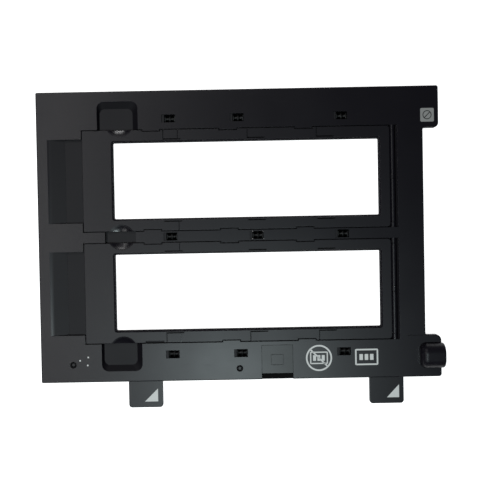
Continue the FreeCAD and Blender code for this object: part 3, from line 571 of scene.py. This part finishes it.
def make_rods():
    """Steel hinge rods with chamfered ends."""
    for name in ("upper", "lower"):
        node = name + "_hinge_rod"
        low, high = box_of(node)
        radius = (high.x - low.x) / 2
        build = bmesh.new()
        verts = bmesh.ops.create_cone(build, cap_ends=True, segments=40, radius1=radius,
                                      radius2=radius, depth=high.y - low.y)["verts"]
        bmesh.ops.rotate(build, verts=verts, matrix=Matrix.Rotation(math.pi / 2, 3, "X"))
        bmesh.ops.translate(build, verts=verts, vec=(low + high) / 2)
        rims = [edge for edge in build.edges
                if any(len(face.verts) > 4 for face in edge.link_faces)]
        bevel_edges(build, rims, ROD_CHAMFER, 2)
        add_piece(name + "_rod", build, ROD_STEEL, node)


def highest_face(build):
    return max((face for face in build.faces if len(face.verts) > MANY_SIDED),
               key=lambda face: face.calc_center_median().z)


def make_pins():
    """Locating pins: a rounded rim, a shallow dish and a raised centre in it."""
    for name in ("left", "centre"):
        node = name + "_locating_pin"
        low, high = box_of(node)
        centre = (low + high) / 2
        radius = (high.x - low.x) / 2
        build = bmesh.new()
        bmesh.ops.create_cone(build, cap_ends=True, segments=48, radius1=radius,
                              radius2=radius, depth=high.z - low.z,
                              matrix=Matrix.Translation(centre))
        bevel_edges(build, list(highest_face(build).edges), PIN_RIM, 4)
        head = highest_face(build)
        bmesh.ops.inset_region(build, faces=[head], thickness=PIN_LIP)
        bmesh.ops.translate(build, vec=(0.0, 0.0, -PIN_DISH), verts=head.verts)
        bmesh.ops.inset_region(build, faces=[head], thickness=PIN_RING)
        bmesh.ops.translate(build, vec=(0.0, 0.0, PIN_CENTRE), verts=head.verts)
        add_piece(name + "_pin", build, PIN_PLASTIC, node)


# ---------------------------------------------------------------- label and printed marks

# Ink lies half in and half out of the skin under it, so that it shows from every side.
INK = 0.04 * MM
TAB_DROP = 2.6 * MM
LABEL_CORNER, SYMBOL_RADIUS, SYMBOL_LINE = 1.0 * MM, 3.3 * MM, 0.6 * MM
RING_INNER, RING_OUTER, SLASH_LINE = 8.5 * MM, 9.7 * MM, 1.1 * MM
DOT_RADIUS = 0.62 * MM

# Places on the plate, in millimetres.
TRIANGLES = {"left": (76.1, 85.95), "right": (256.35, 265.45)}
TRIANGLE_NEAR, TRIANGLE_FAR = -15.5, -5.9
BLOCK_NEAR = 13.2
DOTS = ((35.1, 18.7), (29.0, 16.3), (34.6, 12.8))


def ink_layer(level):
    """The bottom and top of ink printed on a skin at that level."""
    return level - INK / 2, level + INK / 2


def make_label():
    """The corner label, with a ring and a slash printed on it."""
    low, high = box_of("corner_label")
    build = bmesh.new()
    verts = box_shape(build, low, high)
    bevel_edges(build, upright_edges(verts), LABEL_CORNER, 6)
    add_piece("label_plate", build, LABEL_FILM, "corner_label")
    centre = (low + high) / 2
    layer = ink_layer(high.z)
    symbol = bmesh.new()
    ring_shape(symbol, centre, SYMBOL_RADIUS - SYMBOL_LINE, SYMBOL_RADIUS, *layer)
    reach = Vector((1.0, 1.0, 0.0)).normalized() * (SYMBOL_RADIUS - SYMBOL_LINE / 2)
    bar_shape(symbol, centre - reach, centre + reach, SYMBOL_LINE, *layer)
    add_piece("label_symbol", symbol, BLACK_INK)


def make_triangles():
    """The white alignment triangle on each tab."""
    for name, (left, right) in TRIANGLES.items():
        corners = [on_plate(left, TRIANGLE_NEAR), on_plate(right, TRIANGLE_NEAR),
                   on_plate(right, TRIANGLE_FAR)]
        build = bmesh.new()
        plate_shape(build, [corner.to_2d() for corner in corners], *ink_layer(TOP - TAB_DROP))
        add_piece(name + "_tab_triangle", build, WHITE_INK)


def block_shapes(build, left, pitch, width, far):
    """Three plain blocks side by side, in millimetres on the plate."""
    bottom, top = ink_layer(TOP)
    for start in (left, left + pitch, left + 2 * pitch):
        box_shape(build, on_plate(start, BLOCK_NEAR, bottom),
                  on_plate(start + width, far, top))


def make_framed_mark():
    """A frame with three plain blocks in it, printed on the front bar."""
    build = bmesh.new()
    frame_shape(build, on_plate(232.7, 9.4), on_plate(249.8, 21.5), 1.15 * MM, 1.0 * MM,
                *ink_layer(TOP))
    block_shapes(build, left=235.9, pitch=3.9, width=2.6, far=17.6)
    add_piece("framed_mark", build, WHITE_INK)


def make_barred_mark():
    """The same frame, smaller, inside a ring with a slash across it."""
    build = bmesh.new()
    frame_shape(build, on_plate(199.4, 10.8), on_plate(212.6, 20.0), 0.9 * MM, 0.8 * MM,
                *ink_layer(TOP))
    block_shapes(build, left=201.6, pitch=3.2, width=2.2, far=17.4)
    centre = on_plate(206.0, 15.3)
    ring_shape(build, centre, RING_INNER, RING_OUTER, *ink_layer(TOP))
    reach = Vector((-1.0, 1.0, 0.0)).normalized() * (RING_INNER + RING_OUTER) / 2
    bar_shape(build, centre + reach, centre - reach, SLASH_LINE, *ink_layer(TOP))
    add_piece("barred_mark", build, WHITE_INK)


def make_index_dots():
    """Three small white dots beside the left pin."""
    build = bmesh.new()
    for x, y in DOTS:
        bmesh.ops.create_cone(build, cap_ends=True, segments=20, radius1=DOT_RADIUS,
                              radius2=DOT_RADIUS, depth=INK,
                              matrix=Matrix.Translation(on_plate(x, y)))
    add_piece("index_dots", build, WHITE_INK)


make_camera()
make_lights()
make_floor()
finish_nodes()
make_feet()
make_rods()
make_pins()
make_label()
make_triangles()
make_framed_mark()
make_barred_mark()
make_index_dots()
